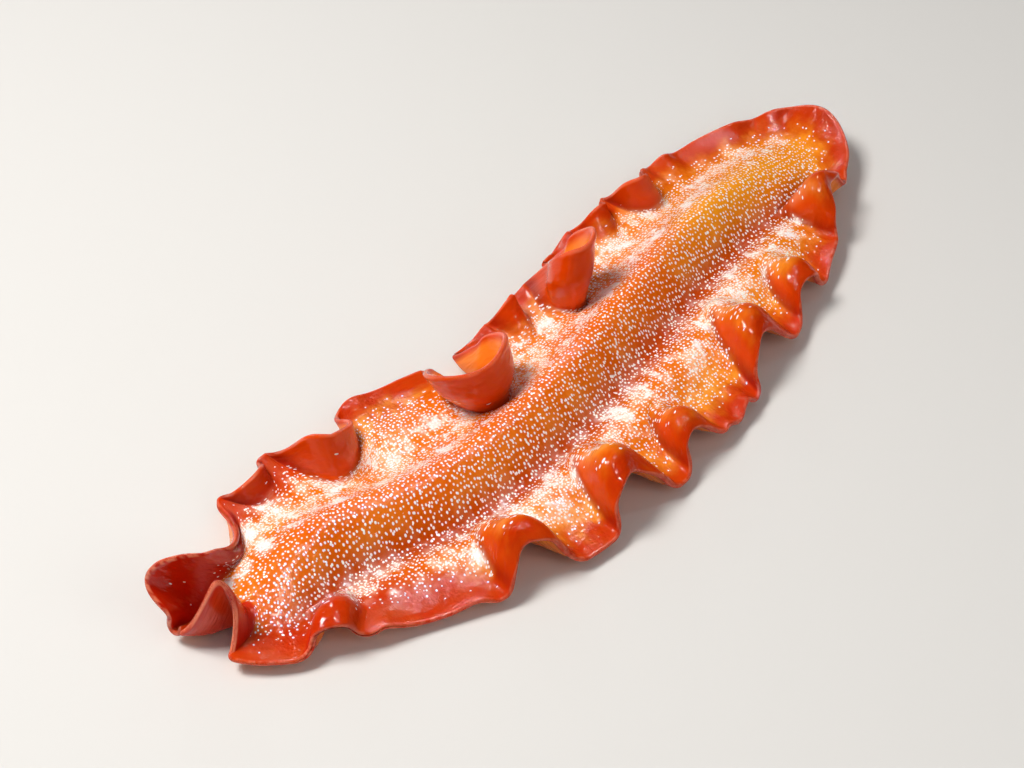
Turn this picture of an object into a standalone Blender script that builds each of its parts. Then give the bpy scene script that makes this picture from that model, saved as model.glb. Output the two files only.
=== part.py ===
import bpy
import bmesh
import math
import numpy as np

# Marine flatworm, a ruffled orange polyclad, as a still life-size model.
# Head towards -Y, tail towards +Y, back up, the animal's left side towards +X.
# Plan sizes below are in millimetres and are scaled to metres at the end.

NAME = "phrikoceros_katoi"
MM = 0.001

# Body plan, head to tail
HEAD_END = -22.2
TAIL_END = 21.4
FIRST_STATION = -21.0
STATION_STEP = 6.0
MIDLINE = (0.9, 1.2, 2.2, 2.8, 1.8, 0.4, -0.9, -1.6)
LEFT_WIDTH = (5.8, 6.1, 7.0, 6.8, 7.0, 6.9, 6.4, 5.0)
RIGHT_WIDTH = (4.2, 5.5, 6.7, 6.1, 6.3, 6.4, 5.7, 5.0)
LEFT_BLUNTNESS = 5.0
RIGHT_BLUNTNESS = 14.0
TAIL_BLUNTNESS = 4.0
HEAD_APEX = -13.6
TAIL_APEX = 13.6

# Width of the thin margin outside the body, the room it has round a fold's foot and
# beside its ends, and the least that it leaves of the body's half width
MARGIN_WIDTH = 2.4
FOOT_ROOM = 0.5
END_ROOM = 2.2
ROOM_CHANGE = 1.9
BODY_LEAST = 1.2
NODE_GAP = 0.34

# Places along the rim where the margin is divided, each on a lobe between folds
LEFT_CUTS = (4.5, 12.4, 20.2, 30.2, 41.2)
LEFT_LENGTHS = ("front", "fore", "middle", "aft")
RIGHT_CUTS = (8.1, 11.3, 17.1, 24.2, 31.2, 40.0)
RIGHT_LENGTHS = ("front", "fore", "middle", "aft", "rear")
SNOUT_GAP = 0.54
# Places along the body where its thick middle is divided
BODY_CUTS = (-5.0, 5.5)

# Columns and rows that each length is divided into
BODY_GRID = (16, 10)
HEAD_GRID = (24, 6)
TAIL_GRID = (22, 6)
COLUMN_WIDTH = 0.7
EAR_ROWS = 9
MARGIN_ROWS = 8
TAIL_ROWS = 7
WELD = 0.00004

# Plain colours and gloss of the wet flesh
BACK_COLOUR = (0.80, 0.22, 0.03)
EAR_COLOUR = (0.74, 0.10, 0.03)
MARGIN_COLOUR = (0.78, 0.12, 0.03)
WET_ROUGHNESS = 0.25

# Shift of the plan that puts the middle of the animal's box over the origin
PLAN_SHIFT = (-1.775, 0.619)

# Thickness of the thin sheet, and the swellings that the back adds to it
SHEET_THICKNESS = 0.5
WING_SWELLING = 0.75
RIDGE_LINE = (1.5, 1.3, 2.6, 2.3, 1.0, -0.5, -1.3, -1.5)
RIDGE_HEIGHT = 1.45
RIDGE_SPREAD = 1.35
RIDGE_FROM = -20.5
RIDGE_TO = 20.0
VALLEY_DEPTH = 0.45
VALLEY_OFFSET = 2.2
VALLEY_SPREAD = 0.7
PILLOW_HEIGHT = 0.3
PILLOW_OFFSET = 4.0
PILLOW_SPREAD = 1.0

# Lift of the plain margin between the folds, and its reach inwards
MARGIN_LIFT = 0.4
LIFT_REACH = 2.6

# Right ear: the head's right front corner, turned up along a foot line. The foot has a
# plan x at the snout and at the ear's tail end, and bends round a radius. The wall
# stands taller than the flat corner is wide, leans outwards and forwards, and sinks
# towards its tail end, where the rim turns back out to the far margin.
EAR_FOOT = (0.55, -0.4)
EAR_END = -16.3
EAR_TURN = 1.7
EAR_SINK_END = -17.2
EAR_SINK = 3.6
EAR_LOWEST = 0.28
EAR_BEND = 0.5
EAR_STRETCH = 1.55
EAR_LEAN = 0.9
EAR_UPRIGHT = -19.8
EAR_LEAN_RUN = 2.4
EAR_LEAN_RISE = 3.0
EAR_FORWARD = 0.3
EAR_PLACE = -2.8
EAR_HALF = 5.0
EAR_WIDTH = 4.4
EAR_CHANGE = 2.2

# Cups of the margin, the left ear among them. The place along the rim is counted from
# the snout, the left side positive. Each takes up a head half and a tail half of the
# rim, and its rim runs inwards by its depth in a loop like a river's meander: both arms
# turn by an angle, and past 90 degrees the loop is wider than its neck. It has a height,
# a reach from the rim to the wall's foot and a lean towards the tail. Counted in shares
# of its halves, from -1 to 1, it rises over a first length and falls over a last one,
# down to its end. The two bulbs, named again below, have no turns: their loops are round,
# and the further in their rim runs, the higher it stands.
CUPS = {
    "ear_left": (1.3, 1.2, 1.45, 1.7, 78, 75, 3.8, 3.2, 0.5, 0.75, 1.0, 0.75),
    "right_1": (-9.4, 1.2, 1.6, 0.9, 75, 70, 1.0, 2.6, 0.0, 1.0, 1.0, 1.0),
    "right_2": (-13.0, 1.3, 3.4, 3.3, 92, 74, 3.1, 4.9, 0.0, 0.8, 1.2, 1.0),
    "right_3": (-21.0, 2.2, 2.2, 4.7, 0, 0, 4.0, 5.0, 0.0, 1.0, 1.0, 1.0),
    "right_lobe": (-25.2, 0.9, 1.0, 0.8, 60, 60, 1.8, 2.8, 0.0, 1.0, 1.0, 1.0),
    "right_4": (-28.2, 1.6, 1.6, 3.8, 0, 0, 4.6, 3.8, 0.0, 1.0, 1.0, 1.0),
    "right_5": (-32.9, 1.3, 1.4, 0.9, 75, 70, 1.4, 2.6, 0.0, 1.0, 1.0, 1.0),
    "right_6": (-36.0, 1.5, 1.5, 1.9, 88, 88, 2.3, 3.2, -0.4, 0.8, 1.1, 1.0),
}
# Cups that open into a round bulb beyond close arms: half width of the neck, radius, and
# the share of the run inwards by which the bulb leans towards the tail
BULBS = {"right_3": (0.42, 1.65, 0.0), "right_4": (0.42, 1.25, -0.2)}
BULB_RISE = 2.0
# Share by which a cup's mouth is drawn together over the top of its wall, and the share
# of its depth at which the mouth has its middle
MOUTH_CLOSE = 0.35
MOUTH_CENTRE = 0.68
MOUTH_FROM = 0.65
# Share of the wall below which a cup doesn't widen yet, and the share of its reach that
# its foot has beside the crown
BELLY_FROM = 0.22
FOOT_SHARE = 0.85
# Pleats of the margin: a steep wall on the head side of a crest, a gentle roof on its
# tail side. Each has a place, a head half and a tail half, a depth by which the rim is
# drawn in, a height, and a reach from the rim to the inner end of the crest.
PLEATS = {
    "left_1": (6.9, 1.8, 2.2, 0.6, 1.4, 3.2),
    "left_2": (16.2, 1.7, 2.6, 1.1, 2.5, 4.2),
    "left_3": (22.0, 1.8, 2.6, 1.2, 2.9, 4.8),
    "left_4": (26.4, 1.5, 1.8, 0.9, 2.0, 3.6),
    "left_5": (33.0, 2.0, 2.4, 1.0, 2.7, 4.8),
    "left_6": (37.5, 1.8, 2.0, 0.8, 1.9, 3.8),
    "left_7": (44.0, 2.1, 2.6, 1.0, 2.6, 3.4),
}
PLEAT_TURNS = (80, 56)
FOLD_STEPS = 120
BULB_SOFTNESS = 27

# Rise of the tail's rim, how far it reaches along the body and inwards
TAIL_RISE = 1.5
TAIL_REACH = 6.0
TAIL_INWARDS = 5.0

# Small waves of the rim: their length, their reach inwards and their size on each side
RUFFLE_LENGTH = 2.9
RUFFLE_REACH = 2.2
RUFFLE_LEFT = 0.5
RUFFLE_RIGHT = 0.7

# Distances over which the sheet's facing is averaged, along the rim and outwards
SMOOTH_ALONG = 0.36
SMOOTH_OUT = 0.03


def along(stations, y):
    """Smooth value of evenly spaced stations at each place y along the body."""
    values = np.asarray(stations)
    place = np.clip((np.asarray(y) - FIRST_STATION) / STATION_STEP, 0, len(values) - 1.000001)
    k = place.astype(int)
    f = place - k
    before = values[np.maximum(k - 1, 0)]
    here = values[k]
    after = values[k + 1]
    beyond = values[np.minimum(k + 2, len(values) - 1)]
    bend = 0.5 * (after - before)
    next_bend = 0.5 * (beyond - here)
    return (here * (2 * f**3 - 3 * f**2 + 1) + after * (3 * f**2 - 2 * f**3)
            + bend * (f**3 - 2 * f**2 + f) + next_bend * (f**3 - f**2))


def outline_side(side, count=1500):
    """Plan curve of one side of the rim, from the head to the tail."""
    turn = np.linspace(0, math.pi, count)
    middle = 0.5 * (HEAD_END + TAIL_END)
    half = 0.5 * (TAIL_END - HEAD_END)
    y = middle - half * np.cos(turn)
    share = np.abs(y - middle) / half
    blunt = np.where(y < middle, LEFT_BLUNTNESS if side > 0 else RIGHT_BLUNTNESS, TAIL_BLUNTNESS)
    width = along(LEFT_WIDTH if side > 0 else RIGHT_WIDTH, y)
    round_off = (1 - share**blunt) ** (1 / 2.0)
    return np.column_stack((along(MIDLINE, y) + side * width * round_off, y))


def measured_side(side):
    line = outline_side(side)
    steps = np.hypot(*np.diff(line, axis=0).T)
    return line, np.concatenate(([0], np.cumsum(steps)))


LEFT_LINE, LEFT_RUN = measured_side(1)
RIGHT_LINE, RIGHT_RUN = measured_side(-1)
ROUND_RUN = LEFT_RUN[-1] + RIGHT_RUN[-1]
HALF_GAP = 0.5 * NODE_GAP


def rim_point(s):
    """Plan point of the rim at distance s from the snout, left side positive."""
    s = np.asarray(s, float)
    s = np.where(s > LEFT_RUN[-1], s - ROUND_RUN, s)
    s = np.where(s < -RIGHT_RUN[-1], s + ROUND_RUN, s)
    left = np.column_stack([np.interp(s, LEFT_RUN, LEFT_LINE[:, k]) for k in (0, 1)])
    right = np.column_stack([np.interp(-s, RIGHT_RUN, RIGHT_LINE[:, k]) for k in (0, 1)])
    return np.where((s >= 0)[:, None], left, right)


def inner_point(rim):
    y = np.clip(rim[:, 1], HEAD_APEX, TAIL_APEX)
    return np.column_stack((along(MIDLINE, y), y))


def ease(x):
    x = np.clip(x, 0, 1)
    return x * x * (3 - 2 * x)


def curl(u):
    """Share of a fold's wall that stands up, from its foot (0) to the rim (1)."""
    return 1.5 * u * u / (u + 0.5)


def roof(u):
    """Height of a pleat's crest from its inner end (0) to the rim (1), where it droops."""
    return 0.5 - 0.5 * np.cos(1.38 * math.pi * u)


def meander(head_half, tail_half, depth, head_turn, tail_turn):
    """Rim of a fold as a loop: where it runs along the rim, and how far inwards."""
    phase = (np.arange(FOLD_STEPS) + 0.5) / FOLD_STEPS * math.pi
    along_rim, inwards = [np.array([-head_half])], [np.array([0.0])]
    for turn, half, sign in ((head_turn, head_half, 1), (tail_turn, tail_half, -1)):
        heading = math.radians(turn) * np.sin(phase)
        ahead = np.cumsum(np.cos(heading))
        inward = np.cumsum(np.sin(heading))
        along_rim.append(along_rim[-1][-1] + half * ahead / ahead[-1])
        inwards.append(inwards[-1][-1] + sign * depth * inward / inward[-1])
    return np.concatenate(along_rim), np.concatenate(inwards)


def bulb(head_half, tail_half, depth, neck, radius, skew):
    """Rim of a fold whose two close arms open into a round bulb, as a loop like the above."""
    gape = math.asin(neck / radius)
    turn = np.linspace(gape - math.pi, math.pi - gape, 2 * FOLD_STEPS)
    along_rim = np.concatenate(([-head_half], radius * np.sin(turn), [tail_half]))
    along_rim = np.insert(along_rim, (1, len(along_rim) - 1), (-neck, neck))
    inwards = np.concatenate(([0, 0], depth - radius + radius * np.cos(turn), [0, 0]))
    run = np.concatenate(([0], np.cumsum(np.hypot(np.diff(along_rim), np.diff(inwards)))))
    even = np.linspace(0, run[-1], 2 * FOLD_STEPS + 1)
    soft = np.hanning(BULB_SOFTNESS) / np.sum(np.hanning(BULB_SOFTNESS))
    rounded = []
    for line in (along_rim, inwards):
        line = np.interp(even, run, line)
        padded = np.pad(line, BULB_SOFTNESS // 2, mode="reflect", reflect_type="odd")
        rounded.append(np.convolve(padded, soft, mode="valid"))
    return rounded[0] + skew * rounded[1], rounded[1]


CUP_LOOPS = {name: meander(*cup[1:6]) for name, cup in CUPS.items() if name not in BULBS}
CUP_LOOPS.update({name: bulb(*CUPS[name][1:4], *BULBS[name]) for name in BULBS})
PLEAT_LOOPS = {name: meander(*pleat[1:3], 1, *PLEAT_TURNS) for name, pleat in PLEATS.items()}
LOOP_STEPS = np.linspace(-1, 1, 2 * FOLD_STEPS + 1)


def on_loop(s, place, head_half, tail_half, loop):
    """Share of the way along a fold, and its loop's run inwards and shift there."""
    side = math.copysign(1, place)
    tailward = np.clip(side * (s - place), -head_half, tail_half)
    x = np.where(tailward < 0, tailward / head_half, tailward / tail_half)
    loop_along, loop_in = loop
    return x, np.interp(x, LOOP_STEPS, loop_in), side * (np.interp(x, LOOP_STEPS, loop_along) - tailward)


def fold_shapes(s, inset):
    """Each fold's rise, pull and shift at rim place s, inset mm in from the rim."""
    for name, cup in CUPS.items():
        place, head_half, tail_half, depth, _, _, height, reach, lean, first, last, end = cup
        x, inwards, shift = on_loop(s, place, head_half, tail_half, CUP_LOOPS[name])
        arch = ease((x + 1) / first) * ease((end - x) / last)
        if name in BULBS:
            arch = 1 - np.clip(1 - inwards / depth, 0, 1) ** BULB_RISE
        foot = reach * (FOOT_SHARE + (1 - FOOT_SHARE) * inwards / depth)
        u = np.clip(1 - inset / foot, 0, 1)
        wall = curl(u)
        belly = ease((u - BELLY_FROM) / (1 - BELLY_FROM))
        closing = MOUTH_CLOSE * ease((u - MOUTH_FROM) / (1 - MOUTH_FROM)) * arch
        pull = inwards + (MOUTH_CENTRE * depth - inwards) * closing
        slide = shift * (1 - closing) + math.copysign(1, place) * lean * arch * belly
        yield height * arch * wall, pull * wall, slide * belly
    for name, (place, head_half, tail_half, depth, height, reach) in PLEATS.items():
        x, share, shift = on_loop(s, place, head_half, tail_half, PLEAT_LOOPS[name])
        u = np.clip(1 - inset / (reach * (0.65 + 0.35 * share)), 0, 1)
        yield height * share * roof(u), depth * share * u, shift * roof(u)


def frame_at(s, t):
    """Plan place, tangent and outward direction, and the distance in from the rim."""
    rim = rim_point(s)
    tangent = rim_point(s + 0.2) - rim_point(s - 0.2)
    tangent /= np.linalg.norm(tangent, axis=1)[:, None]
    outward = np.column_stack((tangent[:, 1], -tangent[:, 0]))
    inner = inner_point(rim)
    width = np.linalg.norm(rim - inner, axis=1)
    return inner + (rim - inner) * t[:, None], tangent, outward, (1 - t) * width


def turned_up(plan, z):
    """The sheet with its right front corner turned up into the right ear."""
    x, y = plan.T
    tailward = np.clip((y - HEAD_END) / (EAR_END - HEAD_END), 0, 1)
    foot = EAR_FOOT[0] + (EAR_FOOT[1] - EAR_FOOT[0]) * tailward
    out = np.maximum(foot - x, 0)
    drawn = ease((EAR_END - y) / EAR_TURN)
    raised = EAR_LOWEST + (1 - EAR_LOWEST) * ease((EAR_SINK_END - y) / EAR_SINK)
    up_wall = out * raised
    turn = np.minimum(up_wall / EAR_BEND, 0.5 * math.pi)
    height = EAR_STRETCH * (up_wall - EAR_BEND * (turn - 1 + np.cos(turn)))
    lean = EAR_LEAN * ease((EAR_UPRIGHT - y) / EAR_LEAN_RUN) * ease(height / EAR_LEAN_RISE)
    wall_x = foot - EAR_BEND * np.sin(turn) - lean
    moved = np.where(out > 0, drawn * (wall_x - x), 0)
    height = height * drawn * drawn
    return plan + np.column_stack((moved, -EAR_FORWARD * height)), z + height


def folded_sheet(s, t):
    """Middle of the thin sheet with its folds, before the rim's small ruffles."""
    plan, tangent, outward, inset = frame_at(s, t)
    z = MARGIN_LIFT * np.clip(1 - inset / LIFT_REACH, 0, 1) ** 2
    tailed = np.clip((plan[:, 1] - TAIL_END + TAIL_REACH) / TAIL_REACH, 0, 1)
    z = z + TAIL_RISE * tailed * tailed * np.clip(1 - inset / TAIL_INWARDS, 0, 1)
    for rise, pull, shift in fold_shapes(s, inset):
        z = z + rise
        plan = plan - outward * pull[:, None] + tangent * shift[:, None]
    plan, z = turned_up(plan, z)
    return np.column_stack((plan, z + 0.5 * SHEET_THICKNESS))


def rim_steps():
    """Places along the flat rim, and there the step that is even along the folded rim."""
    places = np.linspace(-RIGHT_RUN[-1], LEFT_RUN[-1], 3000)
    rim = folded_sheet(places, np.ones(len(places)))
    stretch = np.linalg.norm(np.diff(rim, axis=0), axis=1) / np.diff(places)
    stretch = np.convolve(np.append(stretch, stretch[-1]), np.ones(15) / 15, mode="same")
    return places, SMOOTH_ALONG / np.maximum(stretch, 1)


RIM_PLACES, RIM_STEPS = rim_steps()


def facing(sheet, s, t):
    """Facing of a sheet, averaged over a short way along the rim and outwards."""
    inside = np.clip(t, 0.1, 1 - SMOOTH_OUT)
    out = sheet(s, inside + SMOOTH_OUT) - sheet(s, inside - SMOOTH_OUT)
    step = np.interp(s, RIM_PLACES, RIM_STEPS)
    run = sheet(s + step, inside) - sheet(s - step, inside)
    normal = np.cross(out, run)
    return normal / np.maximum(np.linalg.norm(normal, axis=1), 1e-12)[:, None]


def ruffle(s, inset):
    """Small waves of the rim, out of the sheet's face: higher on the far side."""
    wave = np.sin(2 * math.pi * (s / RUFFLE_LENGTH + 0.3 * np.sin(0.83 * s) + 0.2 * np.sin(0.37 * s + 1)))
    size = np.where(s < 0, RUFFLE_RIGHT, RUFFLE_LEFT) * (0.75 + 0.25 * np.sin(0.61 * s + 2))
    return size * (0.5 + 0.5 * wave) * np.clip(1 - inset / RUFFLE_REACH, 0, 1) ** 1.5


def middle_sheet(s, t):
    """Middle of the thin sheet at rim place s and share t of the way out."""
    inset = frame_at(s, t)[3]
    return folded_sheet(s, t) + facing(folded_sheet, s, t) * ruffle(s, inset)[:, None]


def bump(distance, spread):
    return np.exp(-(distance / spread) ** 2)


def swelling(s, t):
    """Flesh that the back carries above the thin sheet."""
    plan, tangent, outward, inset = frame_at(s, t)
    x, y = plan.T
    across = x - along(RIDGE_LINE, y)
    ends = ease((y - RIDGE_FROM) / 6.0) * ease((RIDGE_TO - y) / 9.0)
    wing = WING_SWELLING * (1 - ease(1 - inset / 4.0))
    ridge = RIDGE_HEIGHT * bump(across, RIDGE_SPREAD)
    valley = VALLEY_DEPTH * (bump(across - VALLEY_OFFSET, VALLEY_SPREAD)
                             + 0.3 * bump(across + VALLEY_OFFSET * 1.2, VALLEY_SPREAD))
    pillow = PILLOW_HEIGHT * (bump(across - PILLOW_OFFSET, PILLOW_SPREAD)
                              + 0.6 * bump(across + PILLOW_OFFSET * 1.1, PILLOW_SPREAD))
    wall = 0
    for rise, pull, shift in fold_shapes(s, inset):
        wall = wall + rise + pull
    return np.maximum(wing + (ridge - valley + pillow) * ends, 0) * (1 - ease(wall / 3.0))


def faces(s, t):
    """Underside and upper side of the sheet."""
    normal = facing(middle_sheet, s, t)
    middle = middle_sheet(s, t)
    low = middle - 0.5 * SHEET_THICKNESS * normal
    high = middle + 0.5 * SHEET_THICKNESS * normal
    high[:, 2] += swelling(s, t)
    low[:, 2] = np.maximum(low[:, 2], 0)
    high[:, 2] = np.maximum(high[:, 2], 0.05)
    return low, high


def side_place(side, y):
    """Distance along the rim from the snout at body place y."""
    line, run = (LEFT_LINE, LEFT_RUN) if side > 0 else (RIGHT_LINE, RIGHT_RUN)
    return side * np.interp(y, line[:, 1], run)


def slab(name, columns, rows, place):
    """Closed slab: a flat triangulated grid doubled, then bent onto the sheet."""
    mesh = bpy.data.meshes.new(name)
    build = bmesh.new()
    bmesh.ops.create_grid(build, x_segments=columns, y_segments=rows, size=0.5)
    bmesh.ops.triangulate(build, faces=build.faces[:])
    made = bmesh.ops.extrude_face_region(build, geom=build.faces[:])
    raised = [g for g in made["geom"] if isinstance(g, bmesh.types.BMVert)]
    bmesh.ops.translate(build, verts=raised, vec=(0, 0, 1))
    flat = np.array([v.co[:] for v in build.verts])
    s, t = place(flat[:, 0] + 0.5, flat[:, 1] + 0.5)
    top = flat[:, 2] > 0.5
    low, high = faces(s, t)
    spots = np.where(top[:, None], high, low)
    for vert, spot in zip(build.verts, spots):
        vert.co = (spot + (*PLAN_SHIFT, 0)) * MM
    bmesh.ops.remove_doubles(build, verts=build.verts[:], dist=WELD)
    bmesh.ops.triangulate(build, faces=build.faces[:])
    bmesh.ops.recalc_face_normals(build, faces=build.faces[:])
    build.to_mesh(mesh)
    build.free()
    item = bpy.data.objects.new(name, mesh)
    collection.objects.link(item)
    return item


def finish(item, colour):
    """Smooth shading and a wet flesh material of the piece's own."""
    material = bpy.data.materials.new(item.name + "_flesh")
    material.use_nodes = True
    shader = material.node_tree.nodes["Principled BSDF"]
    shader.inputs["Base Color"].default_value = (*colour, 1)
    shader.inputs["Roughness"].default_value = WET_ROUGHNESS
    item.data.materials.append(material)
    item.data.shade_smooth()


def cut_share(s):
    """Share of the way out at which body and margin meet, and half the gap there."""
    rim = rim_point(s)
    width = np.linalg.norm(rim - inner_point(rim), axis=1)
    by_ear = ease(EAR_CHANGE * (1 - np.abs(s - EAR_PLACE) / EAR_HALF))
    inset = MARGIN_WIDTH + (EAR_WIDTH - MARGIN_WIDTH) * by_ear
    for folds, reach_index, part_of in ((CUPS, 7, 1.0), (PLEATS, 5, 0.8)):
        for fold in folds.values():
            side = math.copysign(1, fold[0])
            tailward = side * (s - fold[0])
            away = np.where(tailward < 0, -tailward / (fold[1] + END_ROOM), tailward / (fold[2] + END_ROOM))
            wide = part_of * fold[reach_index] + FOOT_ROOM
            inset = np.maximum(inset, MARGIN_WIDTH + (wide - MARGIN_WIDTH) * ease(ROOM_CHANGE * (1 - away)))
    inset = np.minimum(inset, width - BODY_LEAST)
    return 1 - inset / width, 0.5 * NODE_GAP / width


def body_piece(name, y_from, y_to, columns, rows):
    def place(u, v):
        y = y_from + (y_to - y_from) * u
        q = 2 * v - 1
        s = np.where(q >= 0, side_place(1, y), side_place(-1, y))
        cut, gap = cut_share(s)
        return s, np.abs(q) * (cut - gap)
    return slab(name, columns, rows, place)


def round_tail(s):
    """Carries a place past the tail's end on to the right side's count."""
    return np.where(s <= LEFT_RUN[-1], s, s - ROUND_RUN)


def cap_piece(name, s_from, s_to, columns, rows):
    def place(u, v):
        s = s_from + (s_to - s_from) * u
        s = round_tail(s)
        cut, gap = cut_share(s)
        return s, v * (cut - gap)
    return slab(name, columns, rows, place)


def margin_piece(name, s_from, s_to, rows):
    """Length of margin, its columns spaced evenly along the folded sheet itself."""
    even = np.linspace(s_from, s_to, 600)
    run = 0
    for share in (1.0, 0.8):
        edge = middle_sheet(round_tail(even), np.full(600, share))
        run = run + np.concatenate(([0], np.cumsum(np.linalg.norm(np.diff(edge, axis=0), axis=1))))

    def place(u, v):
        s = round_tail(np.interp(u, run / run[-1], even))
        cut, gap = cut_share(s)
        start = cut + gap
        return s, start + (1 - start) * v
    return slab(name, int(0.5 * run[-1] / COLUMN_WIDTH), rows, place)


for old in list(bpy.data.objects):
    bpy.data.objects.remove(old, do_unlink=True)
collection = bpy.data.collections.new(NAME)
bpy.context.scene.collection.children.link(collection)

# Thick middle of the body, head to tail
head = cap_piece("head", side_place(-1, HEAD_APEX), side_place(1, HEAD_APEX), *HEAD_GRID)
front = body_piece("body_front", HEAD_APEX + NODE_GAP, BODY_CUTS[0] - HALF_GAP, *BODY_GRID)
middle = body_piece("body_middle", BODY_CUTS[0] + HALF_GAP, BODY_CUTS[1] - HALF_GAP, *BODY_GRID)
rear = body_piece("body_rear", BODY_CUTS[1] + HALF_GAP, TAIL_APEX - NODE_GAP, *BODY_GRID)
tail = cap_piece("tail", side_place(1, TAIL_APEX), ROUND_RUN + side_place(-1, TAIL_APEX), *TAIL_GRID)
for item in (head, front, middle, rear, tail):
    finish(item, BACK_COLOUR)

# Pseudotentacles, the two ear-like folds of the head's margin
ear_start = 0.5 * SNOUT_GAP
ear_right = margin_piece("pseudotentacle_right", HALF_GAP - RIGHT_CUTS[0], -ear_start, EAR_ROWS)
ear_left = margin_piece("pseudotentacle_left", ear_start, LEFT_CUTS[0] - HALF_GAP, EAR_ROWS)
for item in (ear_right, ear_left):
    finish(item, EAR_COLOUR)

# Ruffled margin down both sides and round the tail
for k, word in enumerate(LEFT_LENGTHS):
    first, last = LEFT_CUTS[k] + HALF_GAP, LEFT_CUTS[k + 1] - HALF_GAP
    item = margin_piece("margin_left_" + word, first, last, MARGIN_ROWS)
    finish(item, MARGIN_COLOUR)
for k, word in enumerate(RIGHT_LENGTHS):
    first, last = HALF_GAP - RIGHT_CUTS[k + 1], -RIGHT_CUTS[k] - HALF_GAP
    item = margin_piece("margin_right_" + word, first, last, MARGIN_ROWS)
    finish(item, MARGIN_COLOUR)
item = margin_piece("margin_tail", LEFT_CUTS[-1] + HALF_GAP, ROUND_RUN - RIGHT_CUTS[-1] - HALF_GAP, TAIL_ROWS)
finish(item, MARGIN_COLOUR)
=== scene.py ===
# %% [markdown]
# # A ruffled orange flatworm
# This lesson dresses a still, life-size model of a live polyclad flatworm. The real
# animal is a leaf of wet flesh 44 mm long and half a millimetre thick at its margin,
# which it throws into tall folds. The lesson makes one skin over the whole animal,
# gives it wet, dotted, translucent flesh, and sets it on a pale floor under soft light.

# %% [markdown]
# ## The fixed model
# The imported solids are loaded first, as the frame that everything else has to fit.

# %% Load the solids
import math
import bpy
import bmesh
import numpy as np
from mathutils import Matrix, Vector


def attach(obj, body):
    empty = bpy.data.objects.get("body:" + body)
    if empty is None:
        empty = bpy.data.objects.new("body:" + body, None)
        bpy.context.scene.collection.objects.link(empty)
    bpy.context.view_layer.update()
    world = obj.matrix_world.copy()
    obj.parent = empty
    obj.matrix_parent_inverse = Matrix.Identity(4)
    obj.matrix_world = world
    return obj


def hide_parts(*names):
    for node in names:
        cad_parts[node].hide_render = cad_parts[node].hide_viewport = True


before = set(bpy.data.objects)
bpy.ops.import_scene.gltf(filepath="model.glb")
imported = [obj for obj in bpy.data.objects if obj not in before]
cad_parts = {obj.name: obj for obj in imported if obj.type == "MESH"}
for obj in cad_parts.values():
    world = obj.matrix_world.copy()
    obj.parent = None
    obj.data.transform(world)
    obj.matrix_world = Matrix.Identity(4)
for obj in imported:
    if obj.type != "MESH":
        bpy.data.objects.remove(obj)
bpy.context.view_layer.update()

MM = 0.001


# %% [markdown]
# ## The outline of the body
# Seen from above, a flatworm is a long leaf whose width swells and narrows a little.
# It could be drawn as a curve by hand. Here a few widths along a bent middle line give
# it, because the same numbers then also say where the margin, the ridge and every dot
# of the skin belong. All plan sizes are in millimetres.

# %% Sizes of the outline
HEAD_END = -22.2
TAIL_END = 21.4
FIRST_STATION = -21.0
STATION_STEP = 6.0
MIDLINE = (0.9, 1.2, 2.2, 2.8, 1.8, 0.4, -0.9, -1.6)
LEFT_WIDTH = (5.8, 6.1, 7.0, 6.8, 7.0, 6.9, 6.4, 5.0)
RIGHT_WIDTH = (4.2, 5.5, 6.7, 6.1, 6.3, 6.4, 5.7, 5.0)
LEFT_BLUNTNESS = 5.0
RIGHT_BLUNTNESS = 14.0
TAIL_BLUNTNESS = 4.0
HEAD_APEX = -13.6
TAIL_APEX = 13.6
PLAN_SHIFT = (-1.775, 0.619)
OUTLINE_STEPS = 1500


def along(stations, y):
    """Smooth value of evenly spaced stations at each place y along the body."""
    values = np.asarray(stations)
    place = np.clip((np.asarray(y) - FIRST_STATION) / STATION_STEP, 0, len(values) - 1.000001)
    k = place.astype(int)
    f = place - k
    before = values[np.maximum(k - 1, 0)]
    here = values[k]
    after = values[k + 1]
    beyond = values[np.minimum(k + 2, len(values) - 1)]
    bend = 0.5 * (after - before)
    next_bend = 0.5 * (beyond - here)
    return (here * (2 * f**3 - 3 * f**2 + 1) + after * (3 * f**2 - 2 * f**3)
            + bend * (f**3 - 2 * f**2 + f) + next_bend * (f**3 - f**2))


def outline_side(side):
    """Plan curve of one side of the rim, from the head to the tail."""
    turn = np.linspace(0, math.pi, OUTLINE_STEPS)
    middle = 0.5 * (HEAD_END + TAIL_END)
    half = 0.5 * (TAIL_END - HEAD_END)
    y = middle - half * np.cos(turn)
    share = np.abs(y - middle) / half
    blunt = np.where(y < middle, LEFT_BLUNTNESS if side > 0 else RIGHT_BLUNTNESS, TAIL_BLUNTNESS)
    width = along(LEFT_WIDTH if side > 0 else RIGHT_WIDTH, y)
    round_off = np.sqrt(1 - share**blunt)
    return np.column_stack((along(MIDLINE, y) + side * width * round_off, y))


def measured_side(side):
    line = outline_side(side)
    steps = np.hypot(*np.diff(line, axis=0).T)
    return line, np.concatenate(([0], np.cumsum(steps)))


LEFT_LINE, LEFT_RUN = measured_side(1)
RIGHT_LINE, RIGHT_RUN = measured_side(-1)
ROUND_RUN = LEFT_RUN[-1] + RIGHT_RUN[-1]
print("rim, mm: left", round(LEFT_RUN[-1], 1), "right", round(RIGHT_RUN[-1], 1))

# %% [markdown]
# ## Places on the animal
# Every spot has two numbers: how far along the rim it lies, counted from the snout, and
# its share of the way from the middle line out to the rim. A person could use x and y
# instead, but then a fold that leans over would be hard to say.

# %% Rim and middle line
TANGENT_STEP = 0.2


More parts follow.
